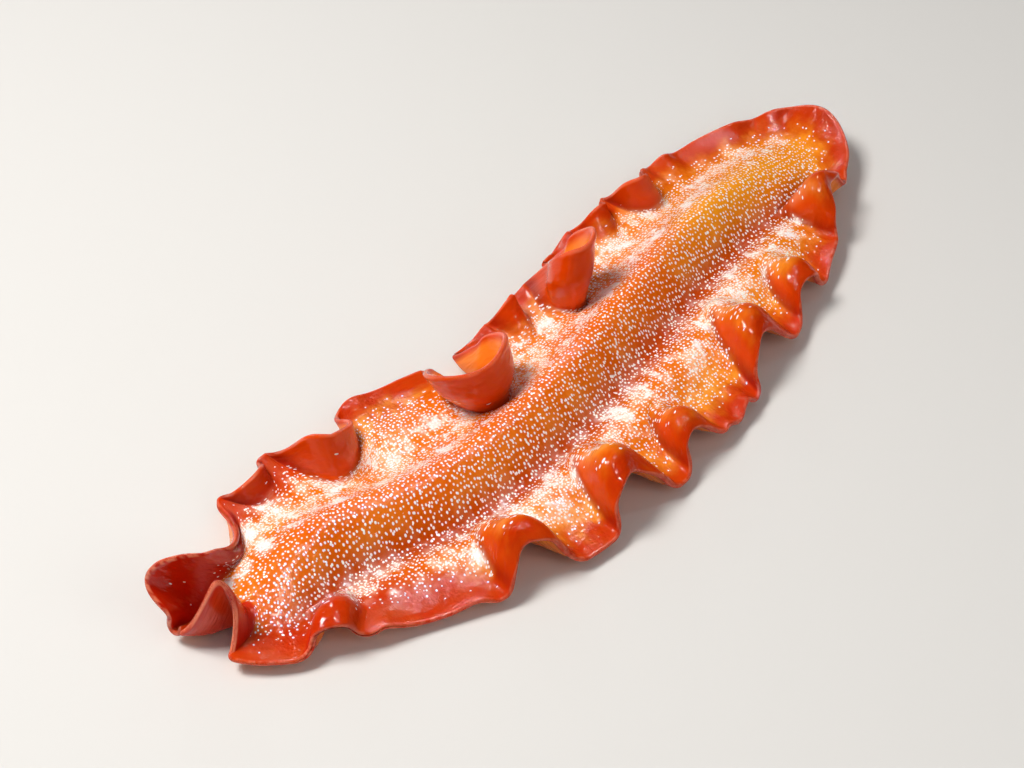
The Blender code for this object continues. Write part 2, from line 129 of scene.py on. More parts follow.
def rim_point(s):
    """Plan point of the rim at distance s from the snout, left side positive."""
    s = np.asarray(s, float)
    s = np.where(s > LEFT_RUN[-1], s - ROUND_RUN, s)
    s = np.where(s < -RIGHT_RUN[-1], s + ROUND_RUN, s)
    left = np.column_stack([np.interp(s, LEFT_RUN, LEFT_LINE[:, k]) for k in (0, 1)])
    right = np.column_stack([np.interp(-s, RIGHT_RUN, RIGHT_LINE[:, k]) for k in (0, 1)])
    return np.where((s >= 0)[:, None], left, right)


def inner_point(rim):
    y = np.clip(rim[:, 1], HEAD_APEX, TAIL_APEX)
    return np.column_stack((along(MIDLINE, y), y))


def side_place(side, y):
    """Distance along the rim from the snout at body place y."""
    line, run = (LEFT_LINE, LEFT_RUN) if side > 0 else (RIGHT_LINE, RIGHT_RUN)
    return side * np.interp(y, line[:, 1], run)


def frame_at(s, t):
    """Plan place, tangent and outward direction, and the distance in from the rim."""
    rim = rim_point(s)
    tangent = rim_point(s + TANGENT_STEP) - rim_point(s - TANGENT_STEP)
    tangent /= np.linalg.norm(tangent, axis=1)[:, None]
    outward = np.column_stack((tangent[:, 1], -tangent[:, 0]))
    inner = inner_point(rim)
    width = np.linalg.norm(rim - inner, axis=1)
    return inner + (rim - inner) * t[:, None], tangent, outward, (1 - t) * width


print("snout at", rim_point([0.0])[0].round(2))

# %% [markdown]
# ## Folds of the margin
# The live worm ruffles its margin. On the far side and at the head the folds stand up as
# cups, whose rim runs inwards and back out like a river's meander. Two of them close
# into round bulbs behind a narrow neck. On the near side they are pleats, with a steep
# wall on the head side and a long roof on the tail side. They could be sculpted by hand,
# but named places, heights and depths are easier to set right.

# %% Named folds
# place, head half, tail half, depth, head turn, tail turn, height, reach, lean, and the
# shares over which it rises and falls, with its end
CUPS = {
    "ear_left": (1.3, 1.2, 1.45, 1.7, 78, 75, 3.8, 3.2, 0.5, 0.75, 1.0, 0.75),
    "right_1": (-9.4, 1.2, 1.6, 0.9, 75, 70, 1.0, 2.6, 0.0, 1.0, 1.0, 1.0),
    "right_2": (-13.0, 1.3, 3.4, 3.3, 92, 74, 3.1, 4.9, 0.0, 0.8, 1.2, 1.0),
    "right_3": (-21.0, 2.2, 2.2, 4.7, 0, 0, 4.0, 5.0, 0.0, 1.0, 1.0, 1.0),
    "right_lobe": (-25.2, 0.9, 1.0, 0.8, 60, 60, 1.8, 2.8, 0.0, 1.0, 1.0, 1.0),
    "right_4": (-28.2, 1.6, 1.6, 3.8, 0, 0, 4.6, 3.8, 0.0, 1.0, 1.0, 1.0),
    "right_5": (-32.9, 1.3, 1.4, 0.9, 75, 70, 1.4, 2.6, 0.0, 1.0, 1.0, 1.0),
    "right_6": (-36.0, 1.5, 1.5, 1.9, 88, 88, 2.3, 3.2, -0.4, 0.8, 1.1, 1.0),
}
# neck half width, radius, and lean as a share of the run inwards
BULBS = {"right_3": (0.42, 1.65, 0.0), "right_4": (0.42, 1.25, -0.2)}
BULB_RISE = 2.0
MOUTH_CLOSE = 0.35
MOUTH_CENTRE = 0.68
MOUTH_FROM = 0.65
BELLY_FROM = 0.22
FOOT_SHARE = 0.85
# place, head half, tail half, depth, height, reach
PLEATS = {
    "left_1": (6.9, 1.8, 2.2, 0.6, 1.4, 3.2),
    "left_2": (16.2, 1.7, 2.6, 1.1, 2.5, 4.2),
    "left_3": (22.0, 1.8, 2.6, 1.2, 2.9, 4.8),
    "left_4": (26.4, 1.5, 1.8, 0.9, 2.0, 3.6),
    "left_5": (33.0, 2.0, 2.4, 1.0, 2.7, 4.8),
    "left_6": (37.5, 1.8, 2.0, 0.8, 1.9, 3.8),
    "left_7": (44.0, 2.1, 2.6, 1.0, 2.6, 3.4),
}
PLEAT_TURNS = (80, 56)
CREST_SHARE = 0.65
FOLD_STEPS = 120
BULB_SOFTNESS = 27
print("folds:", len(CUPS), "cups and", len(PLEATS), "pleats")

# %% Curves of a fold
CURL_ROUND = 0.5
ROOF_TURN = 1.38


def ease(x):
    x = np.clip(x, 0, 1)
    return x * x * (3 - 2 * x)


def curl(u):
    """Share of a fold's wall that stands up, from its foot (0) to the rim (1)."""
    return (1 + CURL_ROUND) * u * u / (u + CURL_ROUND)


def roof(u):
    """Height of a pleat's crest from its inner end (0) to the rim (1), where it droops."""
    return 0.5 - 0.5 * np.cos(ROOF_TURN * math.pi * u)


def meander(head_half, tail_half, depth, head_turn, tail_turn):
    """Rim of a fold as a loop: where it runs along the rim, and how far inwards."""
    phase = (np.arange(FOLD_STEPS) + 0.5) / FOLD_STEPS * math.pi
    along_rim, inwards = [np.array([-head_half])], [np.array([0.0])]
    for turn, half, sign in ((head_turn, head_half, 1), (tail_turn, tail_half, -1)):
        heading = math.radians(turn) * np.sin(phase)
        ahead = np.cumsum(np.cos(heading))
        inward = np.cumsum(np.sin(heading))
        along_rim.append(along_rim[-1][-1] + half * ahead / ahead[-1])
        inwards.append(inwards[-1][-1] + sign * depth * inward / inward[-1])
    return np.concatenate(along_rim), np.concatenate(inwards)


# %% [markdown]
# A bulb's rim runs in along one arm, round a circle and back along the other arm. The
# corners where the arms meet the circle are rounded by averaging neighbours, which is
# simpler than working out the fillets.

# %% Loop of a bulb
def bulb(head_half, tail_half, depth, neck, radius, skew):
    """Rim of a fold whose two close arms open into a round bulb, as a loop like the above."""
    gape = math.asin(neck / radius)
    turn = np.linspace(gape - math.pi, math.pi - gape, 2 * FOLD_STEPS)
    along_rim = np.concatenate(([-head_half], radius * np.sin(turn), [tail_half]))
    along_rim = np.insert(along_rim, (1, len(along_rim) - 1), (-neck, neck))
    inwards = np.concatenate(([0, 0], depth - radius + radius * np.cos(turn), [0, 0]))
    run = np.concatenate(([0], np.cumsum(np.hypot(np.diff(along_rim), np.diff(inwards)))))
    even = np.linspace(0, run[-1], 2 * FOLD_STEPS + 1)
    soft = np.hanning(BULB_SOFTNESS) / np.sum(np.hanning(BULB_SOFTNESS))
    rounded = []
    for line in (along_rim, inwards):
        line = np.interp(even, run, line)
        padded = np.pad(line, BULB_SOFTNESS // 2, mode="reflect", reflect_type="odd")
        rounded.append(np.convolve(padded, soft, mode="valid"))
    return rounded[0] + skew * rounded[1], rounded[1]


CUP_LOOPS = {name: meander(*cup[1:6]) for name, cup in CUPS.items() if name not in BULBS}
CUP_LOOPS.update({name: bulb(*CUPS[name][1:4], *BULBS[name]) for name in BULBS})
PLEAT_LOOPS = {name: meander(*pleat[1:3], 1, *PLEAT_TURNS) for name, pleat in PLEATS.items()}
LOOP_STEPS = np.linspace(-1, 1, 2 * FOLD_STEPS + 1)


# %% [markdown]
# Each fold then says three things of a spot: how far it rises, how far it is drawn in
# and how far it slides along the rim. The folds can simply be added up, since no two of
# them stand in one place.

# %% Rise, pull and slide of every fold
def on_loop(s, place, head_half, tail_half, loop):
    """Share of the way along a fold, and its loop's run inwards and shift there."""
    side = math.copysign(1, place)
    tailward = np.clip(side * (s - place), -head_half, tail_half)
    x = np.where(tailward < 0, tailward / head_half, tailward / tail_half)
    loop_along, loop_in = loop
    return x, np.interp(x, LOOP_STEPS, loop_in), side * (np.interp(x, LOOP_STEPS, loop_along) - tailward)


def fold_shapes(s, inset):
    """Each fold's rise, pull and shift at rim place s, inset mm in from the rim."""
    for name, cup in CUPS.items():
        place, head_half, tail_half, depth, _, _, height, reach, lean, first, last, end = cup
        x, inwards, shift = on_loop(s, place, head_half, tail_half, CUP_LOOPS[name])
        arch = ease((x + 1) / first) * ease((end - x) / last)
        if name in BULBS:
            arch = 1 - np.clip(1 - inwards / depth, 0, 1) ** BULB_RISE
        foot = reach * (FOOT_SHARE + (1 - FOOT_SHARE) * inwards / depth)
        u = np.clip(1 - inset / foot, 0, 1)
        wall = curl(u)
        belly = ease((u - BELLY_FROM) / (1 - BELLY_FROM))
        closing = MOUTH_CLOSE * ease((u - MOUTH_FROM) / (1 - MOUTH_FROM)) * arch
        pull = inwards + (MOUTH_CENTRE * depth - inwards) * closing
        slide = shift * (1 - closing) + math.copysign(1, place) * lean * arch * belly
        yield height * arch * wall, pull * wall, slide * belly
    for name, (place, head_half, tail_half, depth, height, reach) in PLEATS.items():
        x, share, shift = on_loop(s, place, head_half, tail_half, PLEAT_LOOPS[name])
        u = np.clip(1 - inset / (reach * (CREST_SHARE + (1 - CREST_SHARE) * share)), 0, 1)
        yield height * share * roof(u), depth * share * u, shift * roof(u)


# %% [markdown]
# ## The right ear
# The head's right front corner is turned up into a tall ear-shaped fold, called a
# pseudotentacle. It is bent up along a foot line with a round bend, stands taller than
# the flat corner is wide and leans outwards, as a hand bends the corner of a page.

# %% Corner turned up
EAR_FOOT = (0.55, -0.4)
EAR_END = -16.3
EAR_TURN = 1.7
EAR_SINK_END = -17.2
EAR_SINK = 3.6
EAR_LOWEST = 0.28
EAR_BEND = 0.5
EAR_STRETCH = 1.55
EAR_LEAN = 0.9
EAR_UPRIGHT = -19.8
EAR_LEAN_RUN = 2.4
EAR_LEAN_RISE = 3.0
EAR_FORWARD = 0.3


def turned_up(plan, z):
    """The sheet with its right front corner turned up into the right ear."""
    x, y = plan.T
    tailward = np.clip((y - HEAD_END) / (EAR_END - HEAD_END), 0, 1)
    foot = EAR_FOOT[0] + (EAR_FOOT[1] - EAR_FOOT[0]) * tailward
    out = np.maximum(foot - x, 0)
    drawn = ease((EAR_END - y) / EAR_TURN)
    raised = EAR_LOWEST + (1 - EAR_LOWEST) * ease((EAR_SINK_END - y) / EAR_SINK)
    up_wall = out * raised
    turn = np.minimum(up_wall / EAR_BEND, 0.5 * math.pi)
    height = EAR_STRETCH * (up_wall - EAR_BEND * (turn - 1 + np.cos(turn)))
    lean = EAR_LEAN * ease((EAR_UPRIGHT - y) / EAR_LEAN_RUN) * ease(height / EAR_LEAN_RISE)
    wall_x = foot - EAR_BEND * np.sin(turn) - lean
    moved = np.where(out > 0, drawn * (wall_x - x), 0)
    height = height * drawn * drawn
    return plan + np.column_stack((moved, -EAR_FORWARD * height)), z + height


# %% [markdown]
# ## The sheet and its small ruffles
# The animal is one thin sheet. Its middle is worked out first: the folds and the ear
# give its large shape, and small waves of the rim are added along its own facing. The
# facing is averaged over a short way, so that it stays smooth round the tight bends.

# %% Middle of the sheet
SHEET_THICKNESS = 0.5
MARGIN_LIFT = 0.4
LIFT_REACH = 2.6
TAIL_RISE = 1.5
TAIL_REACH = 6.0
TAIL_INWARDS = 5.0
SMOOTH_ALONG = 0.36
SMOOTH_OUT = 0.03
SMOOTH_FROM = 0.1
RIM_TRIALS = 3000
STRETCH_SOFTNESS = 15


def folded_sheet(s, t):
    """Middle of the thin sheet with its folds, before the rim's small ruffles."""
    plan, tangent, outward, inset = frame_at(s, t)
    z = MARGIN_LIFT * np.clip(1 - inset / LIFT_REACH, 0, 1) ** 2
    tailed = np.clip((plan[:, 1] - TAIL_END + TAIL_REACH) / TAIL_REACH, 0, 1)
    z = z + TAIL_RISE * tailed * tailed * np.clip(1 - inset / TAIL_INWARDS, 0, 1)
    for rise, pull, shift in fold_shapes(s, inset):
        z = z + rise
        plan = plan - outward * pull[:, None] + tangent * shift[:, None]
    plan, z = turned_up(plan, z)
    return np.column_stack((plan, z + 0.5 * SHEET_THICKNESS))


def rim_steps():
    """Places along the flat rim, and there the step that is even along the folded rim."""
    places = np.linspace(-RIGHT_RUN[-1], LEFT_RUN[-1], RIM_TRIALS)
    rim = folded_sheet(places, np.ones(len(places)))
    stretch = np.linalg.norm(np.diff(rim, axis=0), axis=1) / np.diff(places)
    even = np.ones(STRETCH_SOFTNESS) / STRETCH_SOFTNESS
    stretch = np.convolve(np.append(stretch, stretch[-1]), even, mode="same")
    return places, SMOOTH_ALONG / np.maximum(stretch, 1)


RIM_PLACES, RIM_STEPS = rim_steps()
print("widest step for the facing, mm:", round(float(RIM_STEPS.max()), 2))


# %% [markdown]
# On the real animal the rim between the folds is never quite flat. Its small waves are
# a sine whose pace drifts along the rim, so that no two of them are alike. Noise could
# do it, but would not keep to the rim.

# %% Facing of the sheet and small ruffles
RUFFLE_LENGTH = 2.9
RUFFLE_REACH = 2.2
RUFFLE_LEFT = 0.5
RUFFLE_RIGHT = 0.7
RUFFLE_FADE = 1.5
# size, pace and start of each slow change in the ruffles' spacing, and of one in height
RUFFLE_DRIFTS = ((0.3, 0.83, 0), (0.2, 0.37, 1))
RUFFLE_SWELL = (0.25, 0.61, 2)


def facing(sheet, s, t):
    """Facing of a sheet, averaged over a short way along the rim and outwards."""
    inside = np.clip(t, SMOOTH_FROM, 1 - SMOOTH_OUT)
    out = sheet(s, inside + SMOOTH_OUT) - sheet(s, inside - SMOOTH_OUT)
    step = np.interp(s, RIM_PLACES, RIM_STEPS)
    run = sheet(s + step, inside) - sheet(s - step, inside)
    normal = np.cross(out, run)
    return normal / np.maximum(np.linalg.norm(normal, axis=1), 1e-12)[:, None]


def ruffle(s, inset):
    """Small waves of the rim, out of the sheet's face: higher on the far side."""
    turns = s / RUFFLE_LENGTH
    for share, pace, start in RUFFLE_DRIFTS:
        turns = turns + share * np.sin(pace * s + start)
    share, pace, start = RUFFLE_SWELL
    size = np.where(s < 0, RUFFLE_RIGHT, RUFFLE_LEFT) * (1 - share + share * np.sin(pace * s + start))
    wave = 0.5 + 0.5 * np.sin(2 * math.pi * turns)
    return size * wave * np.clip(1 - inset / RUFFLE_REACH, 0, 1) ** RUFFLE_FADE


def middle_sheet(s, t):
    """Middle of the thin sheet at rim place s and share t of the way out."""
    inset = frame_at(s, t)[3]
    return folded_sheet(s, t) + facing(folded_sheet, s, t) * ruffle(s, inset)[:, None]


# %% [markdown]
# ## The flesh on the back
# The back carries a ridge over the gut, a valley beside it, and wings that thin out to
# the margin. A solidify modifier could thicken the sheet, but would not know where the
# flesh is, so the swelling is worked out from the distance to the ridge and the rim.

# %% Swelling of the back
WING_SWELLING = 0.75
WING_REACH = 4.0
RIDGE_LINE = (1.5, 1.3, 2.6, 2.3, 1.0, -0.5, -1.3, -1.5)
RIDGE_HEIGHT = 1.45
RIDGE_SPREAD = 1.35
RIDGE_FROM = -20.5
RIDGE_HEAD_RISE = 6.0
RIDGE_TO = 20.0
RIDGE_TAIL_FALL = 9.0
VALLEY_DEPTH = 0.45
VALLEY_OFFSET = 2.2
VALLEY_SPREAD = 0.7
PILLOW_HEIGHT = 0.3
PILLOW_OFFSET = 4.0
PILLOW_SPREAD = 1.0
# share of the depth or height, and of the offset, that each has on the far side
FAR_VALLEY = (0.3, 1.2)
FAR_PILLOW = (0.6, 1.1)
WALL_THINNING = 3.0


def bump(distance, spread):
    return np.exp(-(distance / spread) ** 2)


def on_both_sides(across, offset, spread, far):
    """A bump beside the ridge on the near side, and its smaller like on the far side."""
    share, farther = far
    return bump(across - offset, spread) + share * bump(across + offset * farther, spread)


def swelling(s, t):
    """Flesh that the back carries above the thin sheet."""
    plan, _, _, inset = frame_at(s, t)
    across = plan[:, 0] - along(RIDGE_LINE, plan[:, 1])
    ends = ease((plan[:, 1] - RIDGE_FROM) / RIDGE_HEAD_RISE) * ease((RIDGE_TO - plan[:, 1]) / RIDGE_TAIL_FALL)
    wing = WING_SWELLING * (1 - ease(1 - inset / WING_REACH))
    ridge = RIDGE_HEIGHT * bump(across, RIDGE_SPREAD)
    valley = VALLEY_DEPTH * on_both_sides(across, VALLEY_OFFSET, VALLEY_SPREAD, FAR_VALLEY)
    pillow = PILLOW_HEIGHT * on_both_sides(across, PILLOW_OFFSET, PILLOW_SPREAD, FAR_PILLOW)
    wall = sum(rise + pull for rise, pull, _ in fold_shapes(s, inset))
    return np.maximum(wing + (ridge - valley + pillow) * ends, 0) * (1 - ease(wall / WALL_THINNING))


# %% [markdown]
# The rim of the real sheet thins out before it ends in a fine round edge. The skin does
# the same, inside the solids' blunter edge: its thickness falls over the last part of
# the margin and closes in a half circle.

# %% The two faces of the skin
RIM_THICKNESS = 0.26
RIM_TAPER = 1.4
UPPER_LEAST = 0.05


def thickness(inset):
    """Thickness of the skin's margin, which ends in a round edge at the rim."""
    taper = RIM_THICKNESS + (SHEET_THICKNESS - RIM_THICKNESS) * ease(inset / RIM_TAPER)
    half = 0.5 * RIM_THICKNESS
    edge = np.clip(1 - inset / half, 0, 1)
    return taper * np.sqrt(np.maximum(1 - edge**2, 0))


def faces(s, t):
    """Underside and upper side of the sheet, and its facing."""
    normal = facing(middle_sheet, s, t)
    middle = middle_sheet(s, t)
    half = 0.5 * thickness(frame_at(s, t)[3])[:, None]
    low = middle - half * normal
    high = middle + half * normal
    high[:, 2] += swelling(s, t)
    low[:, 2] = np.maximum(low[:, 2], 0)
    high[:, 2] = np.maximum(high[:, 2], UPPER_LEAST)
    return low, high, normal


# %% [markdown]
# ## One seamless skin
# Flesh has no joints, so one skin stands for all the solids. Its grid runs once round
# the rim, in columns, and from the middle line out to the rim, in rows that crowd
# towards the thin edge. Both long sides use the same body places, so their inner ends
# meet point for point on the middle line and weld into one surface.

# %% Columns round the rim
SIDE_COLUMNS = 1500
HEAD_COLUMNS = 1000
TAIL_COLUMNS = 480
ROWS = 64
TRIAL_STEPS = 6000


def folded_run(s):
    """Distance along the folded rim at each of the places s."""
    rim = middle_sheet(s, np.ones(len(s)))
    return np.concatenate(([0], np.cumsum(np.linalg.norm(np.diff(rim, axis=0), axis=1))))


def side_columns():
    """Body places shared by both sides, close together wherever either rim is folded."""
    y = np.linspace(HEAD_APEX, TAIL_APEX, TRIAL_STEPS)
    runs = [folded_run(side_place(side, y)) for side in (1, -1)]
    steps = np.maximum(np.diff(runs[0]), np.diff(runs[1]))
    run = np.concatenate(([0], np.cumsum(steps)))
    return np.interp(np.linspace(0, run[-1], SIDE_COLUMNS), run, y)


def even_columns(first, last, count):
    """Places from first to last, evenly spaced along the folded rim."""
    s = np.linspace(first, last, TRIAL_STEPS)
    run = folded_run(s)
    return np.interp(np.linspace(0, run[-1], count), run, s)


def columns_round():
    """Places along the rim, once round from the tail's right side to its left."""
    y = side_columns()
    right = side_place(-1, y[::-1])
    left = side_place(1, y)
    head = even_columns(right[-1], left[0], HEAD_COLUMNS)[1:-1]
    tail = even_columns(left[-1], ROUND_RUN + right[0], TAIL_COLUMNS)[1:-1]
    tail = np.where(tail > LEFT_RUN[-1], tail - ROUND_RUN, tail)
    return np.concatenate((right, head, left, tail))


# %% Rows out to the rim
ROW_CROWDING = 1.6


def rows_out():
    """Shares of the way out, closer together towards the rim."""
    even = np.linspace(0, 1, ROWS)
    return 1 - (1 - even) ** ROW_CROWDING


columns = columns_round()
rows = rows_out()
place_s, place_t = [grid.ravel() for grid in np.meshgrid(columns, rows, indexing="ij")]
underside, upper, sheet_facing = faces(place_s, place_t)
print("grid:", len(columns), "columns by", len(rows), "rows")

# %% Join the two faces into a closed skin
def grid_quads(column_count, row_count):
    """Corner numbers of every quad in a grid whose last column meets the first."""
    corner = np.arange(column_count * row_count).reshape(column_count, row_count)
    after = np.roll(corner, -1, axis=0)
    return np.stack((corner[:, :-1], after[:, :-1], after[:, 1:], corner[:, 1:]), -1).reshape(-1, 4)


quads = grid_quads(len(columns), len(rows))
upper_quads = quads[:, ::-1] + len(underside)
spots = np.concatenate((underside, upper)) + (*PLAN_SHIFT, 0)
skin_mesh = bpy.data.meshes.new("living_skin")
skin_mesh.from_pydata((spots * MM).tolist(), [], np.concatenate((quads, upper_quads)).tolist())
print("skin corners:", len(skin_mesh.vertices), "quads:", len(skin_mesh.polygons))

# %% [markdown]
# ## What each spot of the skin remembers
# The animal's markings follow its body, not the folds that it happens to be in: dots sit
# on the back and the margin is redder. The pale line painted along the rim, as glow and
# highlight, keeps to the body too. So each corner of the mesh is told its place on the
# flattened animal, how far in from the rim it lies, how much of its height is fold, and
# how near it is to the ridge or the valley. An image painted over the model could do it
# too, but these numbers stay sharp at any size.

# %% Numbers kept on the skin
NEAR_WING = 3.6
FAR_WING = -3.0
WING_SPREAD = 1.3
RIDGE_MARKING = 1.5
VALLEY_MARKING = 0.9
MARKING_ENDS = 4.0


def keep_number(name, values):
    """One number for every corner: the same on both faces, or one list for each face."""
    values = np.asarray(values, np.float32)
    if len(values) < len(skin_mesh.vertices):
        values = np.tile(values, 2)
    skin_mesh.attributes.new(name, "FLOAT", "POINT").data.foreach_set("value", values)


flat_plan, _, _, from_rim = frame_at(place_s, place_t)
flat_x, flat_y = flat_plan.T
off_ridge = flat_x - along(RIDGE_LINE, flat_y)
body_ends = ease((flat_y - RIDGE_FROM) / MARKING_ENDS) * ease((RIDGE_TO - flat_y) / MARKING_ENDS)
wings = bump(off_ridge - NEAR_WING, WING_SPREAD) + bump(off_ridge - FAR_WING, WING_SPREAD)

keep_number("rest_x", flat_x)
keep_number("rest_y", flat_y)
keep_number("from_rim", from_rim)
keep_number("fold_wall", sum(rise for rise, _, _ in fold_shapes(place_s, from_rim)))
keep_number("steep", 1 - np.abs(sheet_facing[:, 2]))
keep_number("ridge", bump(off_ridge, RIDGE_MARKING) * body_ends)
keep_number("valley", bump(off_ridge - VALLEY_OFFSET, VALLEY_MARKING) * body_ends)
keep_number("wings", wings * body_ends)
keep_number("off_ridge", off_ridge)
keep_number("underneath", np.repeat((1.0, 0.0), len(place_s)))
print("numbers on the skin:", [name for name in skin_mesh.attributes.keys() if "." not in name])

# %% [markdown]
# The two faces meet along the rim and, at their inner ends, along the middle line. The
# corners that fall together there are welded, which closes the skin. A closed skin can
# then be told which way is outwards all over.

# %% Weld the skin and fit it to the model
WELD = 0.000004

shaper = bmesh.new()
shaper.from_mesh(skin_mesh)
bmesh.ops.remove_doubles(shaper, verts=shaper.verts[:], dist=WELD)
bmesh.ops.recalc_face_normals(shaper, faces=shaper.faces[:])
shaper.to_mesh(skin_mesh)
shaper.free()
skin_mesh.shade_smooth()
skin = bpy.data.objects.new("flatworm_skin", skin_mesh)
bpy.context.scene.collection.objects.link(skin)
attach(skin, "root")
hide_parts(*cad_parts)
print("skin after welding:", len(skin_mesh.vertices), "corners")

# %% [markdown]
# ## Writing a finish as sums
# A finish is a tree of small nodes. Laid out by hand it is hard to read, so this class
# wraps a socket and lets Python's own signs add the Math nodes: `1 - mask` is one node.
# Every other kind of node comes from one method.

# %% A socket that can be added and multiplied
class Wire:
    """An output socket of a material, which the signs of arithmetic work on."""

    def __init__(self, tree, socket=None):
        self.tree = tree
        self.socket = socket

    def node(self, kind, settings=None, values=None, output=0):
        """Adds a node, sets it up, then gives its sockets their values or links."""
        made = self.tree.nodes.new(kind)
        for name, setting in (settings or {}).items():
            setattr(made, name, setting)
        for key, value in (values or {}).items():
            if isinstance(value, Wire):
                self.tree.links.new(value.socket, made.inputs[key])
            else:
                made.inputs[key].default_value = value
        return Wire(self.tree, made.outputs[output])

    def math(self, operation, *values):
        return self.node("ShaderNodeMath", {"operation": operation}, dict(enumerate(values)))

    def __add__(self, other):
        return self.math("ADD", self, other)

    def __sub__(self, other):
        return self.math("SUBTRACT", self, other)

    def __rsub__(self, other):
        return self.math("SUBTRACT", other, self)

    def __mul__(self, other):
        return self.math("MULTIPLY", self, other)

    def __lt__(self, other):
        return self.math("LESS_THAN", self, other)

    __radd__ = __add__
    __rmul__ = __mul__


def between(wire, low, high):
    """0 below low, 1 above high, and an even curve between. High may be the smaller."""
    return wire.node("ShaderNodeMapRange", {"interpolation_type": "SMOOTHSTEP"},
                     {"Value": wire, "From Min": low, "From Max": high})


def blend(share, under, over):
    """Colour that turns from one to the other with a share."""
    return share.node("ShaderNodeMix", {"data_type": "RGBA"}, {0: share, 6: under, 7: over}, 2)


def paint(red, green, blue):
    """A colour as the eye gives it, 0 to 255, in the linear light that shaders use."""
    seen = np.array((red, green, blue)) / 255
    light = np.where(seen <= 0.04045, seen / 12.92, ((seen + 0.055) / 1.055) ** 2.4)
    return (*[float(value) for value in light], 1.0)


flesh = bpy.data.materials.new("wet_dotted_flesh")
flesh.use_nodes = True
start = Wire(flesh.node_tree)
print("finish started:", flesh.name)

# %% [markdown]
# ## What the skin remembers, as wires
# Each number that was kept on the skin becomes a wire. The cloudiness of the living
# flesh, which has no hard borders anywhere, comes from noise in three sizes. It is laid
# on the flattened animal, so that it isn't stretched where a fold stands up.

# %% Numbers of the skin as wires
UNDERSIDE_APART = 7.0


def kept(name):
    return start.node("ShaderNodeAttribute", {"attribute_name": name}, output=2)


rest_x = kept("rest_x")
rest_y = kept("rest_y")
rim_mm = kept("from_rim")
wall_mm = kept("fold_wall")
steep = kept("steep")
ridge = kept("ridge")
valley = kept("valley")
wings = kept("wings")
off_ridge_mm = kept("off_ridge")
under_face = kept("underneath")
upper_face = 1 - under_face
face_apart = under_face * UNDERSIDE_APART
rest_place = start.node("ShaderNodeCombineXYZ", values={0: rest_x, 1: rest_y, 2: face_apart})


def moved_place(offset):
    """Place on the flattened animal, moved so that two patterns don't fall together."""
    return start.node("ShaderNodeVectorMath", {"operation": "ADD"}, {0: rest_place, 1: (offset, offset, 0.0)})


# %% Clouds
def cloud(scale, detail, offset=0.0):
    """Soft noise, about 0 to 1, with scale in lumps per mm."""
    return start.node("ShaderNodeTexNoise",
                      values={"Vector": moved_place(offset), "Scale": scale, "Detail": detail})


slow = cloud(0.35, 2.0)
middling = cloud(1.1, 3.0, 31.0)
quick = cloud(3.2, 2.0, 13.0)


def strayed(wire, cloudiness, mm):
    """A distance whose borders wander by up to half the mm to either side."""
    return wire + (cloudiness - 0.5) * mm


print("nodes so far:", len(flesh.node_tree.nodes))

# %% [markdown]
# ## Ground colours of the flesh
# The back is a clear orange, deeper along the ridge and yellower towards the tail. The
# valley beside the ridge is painted darker, as painted shade. The margin is deep
# red-orange, in a broader band round the head. The steep walls of its folds are painted
# redder than the back: partly the margin's own red, partly painted shade on walls that
# face sideways. The colours run into each other over a millimetre or two. Each band is a
# distance turned into a share, which is easier to move than paint.

# %% Orange back, redder margin
BACK = paint(232, 114, 14)
BRIGHT = paint(250, 154, 34)
RIDGE = paint(226, 96, 8)
REAR = paint(244, 158, 26)
VALLEY_SHADE = paint(176, 52, 4)
MARGIN = paint(192, 34, 4)
WALL_RED_AND_SHADE = paint(218, 66, 2)
# mm at which a share is 0 and at which it is 1: a body place, or a distance from the rim
REAR_BAND = (8.0, 14.0)
HEAD_BAND = (-8.0, -15.0)
RED_BAND = (2.4, 0.4)
RED_BROADER_AT_HEAD = 0.9
STANDING_BAND = (0.3, 1.0)
STEEP_BAND = (0.35, 0.8)

colour = blend(between(strayed(slow, middling, 0.7), 0.35, 0.7), BACK, BRIGHT)
colour = blend(ridge * 0.8, colour, RIDGE)
colour = blend(between(rest_y + slow * 4.0, *REAR_BAND) * (0.25 + 0.6 * ridge), colour, REAR)
# painted shade: the valley beside the ridge is painted darker where shade falls
colour = blend(valley * 0.9, colour, VALLEY_SHADE)
headward = between(rest_y, *HEAD_BAND)
red_band = between(strayed(rim_mm, middling, 2.0) - headward * RED_BROADER_AT_HEAD, *RED_BAND)
colour = blend(red_band * 0.9, colour, MARGIN)
# steep walls painted redder: partly the margin's own red, partly painted shade on walls that face sideways
standing = between(strayed(wall_mm, slow, 0.6), *STANDING_BAND)
upright = between(steep, *STEEP_BAND) * standing
colour = blend(upright * 0.9, colour, WALL_RED_AND_SHADE)

# %% [markdown]
# The foot of a fold lies in its own shade, and it is painted the deepest red there as
# painted shade. The underside, which lines the cups, is a light warm orange, and the
# ears are red on both faces.

# %% Painted shade at the feet, linings and ears
FOOT_SHADE = paint(150, 22, 6)
LINING = paint(242, 128, 34)
EAR = paint(192, 28, 4)
FOOT_STEEP = (0.3, 0.7)
FOOT_WALL = (1.5, 0.3)
LINING_BAND = (0.1, 0.5)
EAR_BAND = (-17.6, -19.2)
EAR_WALL = (0.5, 1.4)

foot = between(steep, *FOOT_STEEP) * between(wall_mm, *FOOT_WALL)
# painted shade: the deepest red at the foot of steep fold walls, weaker on the underside
colour = blend(foot * (0.75 - 0.5 * under_face), colour, FOOT_SHADE)
colour = blend(under_face * between(rim_mm, *LINING_BAND), colour, LINING)
ear_zone = between(strayed(rest_y, middling, 1.2), *EAR_BAND) * between(wall_mm + steep * 3.0, *EAR_WALL)
colour = blend(ear_zone * 0.92, colour, EAR)

